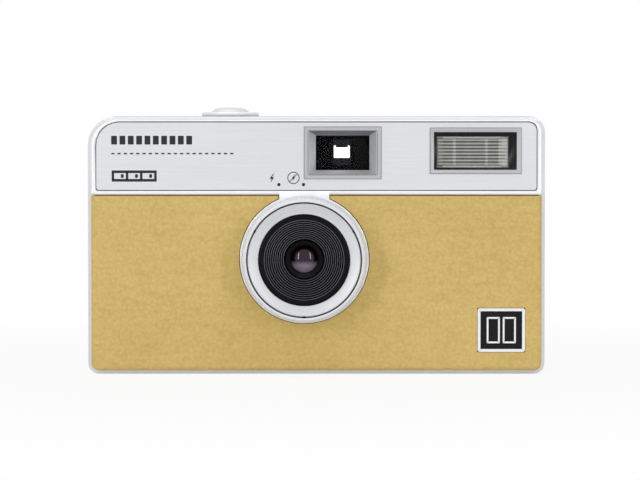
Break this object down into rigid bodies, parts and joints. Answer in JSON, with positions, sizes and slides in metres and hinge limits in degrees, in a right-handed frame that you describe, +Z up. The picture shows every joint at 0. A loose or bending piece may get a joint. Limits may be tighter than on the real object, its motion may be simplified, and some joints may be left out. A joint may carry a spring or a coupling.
{
  "type": "half frame camera",
  "caption": "Compact half frame 35 mm film camera with fixed-focus lens, built-in flash, thumb wheel advance, rewind crank and hinged back door.",
  "frame": {"origin": "on the surface that the camera stands on, under the centre of its overall box", "axes": "+Z up, the front with the lens faces -Y, +X is on the right of someone who looks at the front"},
  "size_m": [0.11, 0.039, 0.0643],
  "materials": {
    "silver_paint": "satin silver",
    "brushed_plate": "fine horizontal brushing",
    "sand_leatherette": "fine pebble grain",
    "black_plastic": "fine matt",
    "gloss_black": "gloss",
    "clear_plastic": "clear",
    "reflector_foil": "polished",
    "spring_steel": "satin",
    "circuit_board": "solder mask",
    "capacitor_sleeve": "shrink sleeve",
    "copper_winding": "enamelled wire",
    "battery_cell": "satin",
    "amber_lamp": "clear amber",
    "dial_white": "matt"
  },
  "bodies": {
    "root": {"front_cover": "silver_paint", "face_plate": "brushed_plate", "leather_skin": "sand_leatherette", "badge": "gloss_black", "body_band": "silver_paint", "rear_top_cover": "black_plastic", "chassis": "black_plastic", "viewfinder_frame": "silver_paint", "viewfinder_front_lens": "clear_plastic", "viewfinder_tunnel": "black_plastic", "eyepiece_lens": "clear_plastic", "eyepiece_frame": "black_plastic", "flash_frame": "gloss_black", "flash_window": "clear_plastic", "flash_reflector": "reflector_foil", "flash_tube": "clear_plastic", "flash_circuit_board": "circuit_board", "flash_capacitor": "capacitor_sleeve", "flash_transformer": "copper_winding", "ready_lamp": "amber_lamp", "lens_housing": "black_plastic", "lens_bezel": "silver_paint", "lens_cone": "gloss_black", "lens_barrel": "black_plastic", "front_lens": "clear_plastic", "aperture_plate": "black_plastic", "rear_lens": "clear_plastic", "lens_retaining_ring": "black_plastic", "shutter_plate": "spring_steel", "button_bezel": "silver_paint", "button_spring": "spring_steel", "counter_window": "clear_plastic", "battery": "battery_cell", "battery_contact_top": "spring_steel", "door_hinge_pin": "spring_steel", "strap_bar": "spring_steel", "base_screw_left": "spring_steel", "base_screw_right": "spring_steel", "lens_screw_1": "spring_steel", "lens_screw_2": "spring_steel", "lens_screw_3": "spring_steel"},
    "flash_switch_ring": {"flash_switch_ring": "silver_paint"},
    "shutter_blade": {"shutter_blade": "spring_steel"},
    "shutter_button": {"shutter_button": "silver_paint"},
    "release_lever": {"release_lever": "spring_steel"},
    "advance": {"takeup_spool": "black_plastic", "advance_wheel": "black_plastic"},
    "sprocket": {"sprocket_shaft": "black_plastic"},
    "counter_dial": {"counter_dial": "dial_white"},
    "rewind": {"rewind_knob": "black_plastic", "crank_pin": "spring_steel"},
    "crank_arm": {"rewind_crank_arm": "silver_paint"},
    "crank_grip": {"crank_grip": "black_plastic"},
    "back_door": {"back_door": "black_plastic", "pressure_spring": "spring_steel"},
    "pressure_plate": {"pressure_plate": "black_plastic"},
    "door_latch": {"door_latch": "black_plastic"},
    "battery_door": {"battery_door": "silver_paint", "battery_contact_spring": "spring_steel"},
    "rewind_release": {"rewind_release_button": "spring_steel"}
  },
  "joints": [
    {"name": "button_press", "type": "slide", "parent": "root", "child": "shutter_button", "axis": [0, 0, -1], "range_m": [0, 0.0011], "stiffness_N_per_m": 400, "springref_m": -0.0008, "deforming": ["button_spring"]},
    {"name": "release_lever_tip", "type": "hinge", "parent": "root", "child": "release_lever", "pos_m": [-0.0139, 0.0045, 0.0544], "axis": [0, -1, 0], "range_deg": [0, 9.29]},
    {"name": "flash_ring_turn", "type": "hinge", "parent": "root", "child": "flash_switch_ring", "pos_m": [-0.0029, -0.0195, 0.0278], "axis": [0, -1, 0], "range_deg": [0, 18]},
    {"name": "shutter_blade_swing", "type": "hinge", "parent": "root", "child": "shutter_blade", "pos_m": [-0.0029, -0.0056, 0.0186], "axis": [0, 1, 0], "range_deg": [0, 36], "stiffness_Nm_per_rad": 0.0004, "springref_deg": -20.05},
    {"name": "advance_turn", "type": "hinge", "parent": "root", "child": "advance", "pos_m": [-0.0408, 0.008, 0.0508], "axis": [0, 0, 1], "continuous": true},
    {"name": "sprocket_turn", "type": "hinge", "parent": "root", "child": "sprocket", "pos_m": [-0.0193, 0.009, 0.0505], "axis": [0, 0, 1], "continuous": true},
    {"name": "counter_turn", "type": "hinge", "parent": "root", "child": "counter_dial", "pos_m": [-0.0408, 0.008, 0.0582], "axis": [0, 0, 1], "continuous": true},
    {"name": "rewind_turn", "type": "hinge", "parent": "root", "child": "rewind", "pos_m": [0.0382, 0.0052, 0.0577], "axis": [0, 0, 1], "continuous": true},
    {"name": "crank_fold", "type": "hinge", "parent": "rewind", "child": "crank_arm", "pos_m": [0.0346, 0.0052, 0.06075], "axis": [0, -1, 0], "range_deg": [0, 150]},
    {"name": "crank_grip_spin", "type": "hinge", "parent": "crank_arm", "child": "crank_grip", "pos_m": [0.0436, 0.0052, 0.06075], "axis": [0, 0, 1], "continuous": true},
    {"name": "door_swing", "type": "hinge", "parent": "root", "child": "back_door", "pos_m": [-0.0539, 0.0184, 0.0278], "axis": [0, 0, 1], "range_deg": [0, 110]},
    {"name": "pressure_plate_push", "type": "slide", "parent": "back_door", "child": "pressure_plate", "axis": [0, 1, 0], "range_m": [0, 0.0006], "stiffness_N_per_m": 300, "springref_m": -0.0008, "deforming": ["pressure_spring"]},
    {"name": "latch_slide", "type": "slide", "parent": "root", "child": "door_latch", "axis": [0, 0, -1], "range_m": [0, 0.0035]},
    {"name": "battery_door_swing", "type": "hinge", "parent": "root", "child": "battery_door", "pos_m": [0.0193, 0.0043, 0.0008], "axis": [1, 0, 0], "range_deg": [0, 100]},
    {"name": "rewind_release_press", "type": "slide", "parent": "root", "child": "rewind_release", "axis": [0, 0, 1], "range_m": [0, 0.0012], "stiffness_N_per_m": 200, "springref_m": -0.0008}
  ],
  "couplings": [
    {"joint": "release_lever_tip", "follows": "button_press", "rad_per_m": 139.44},
    {"joint": "sprocket_turn", "follows": "advance_turn", "ratio": 1},
    {"joint": "counter_turn", "follows": "advance_turn", "ratio": 0.025}
  ]
}
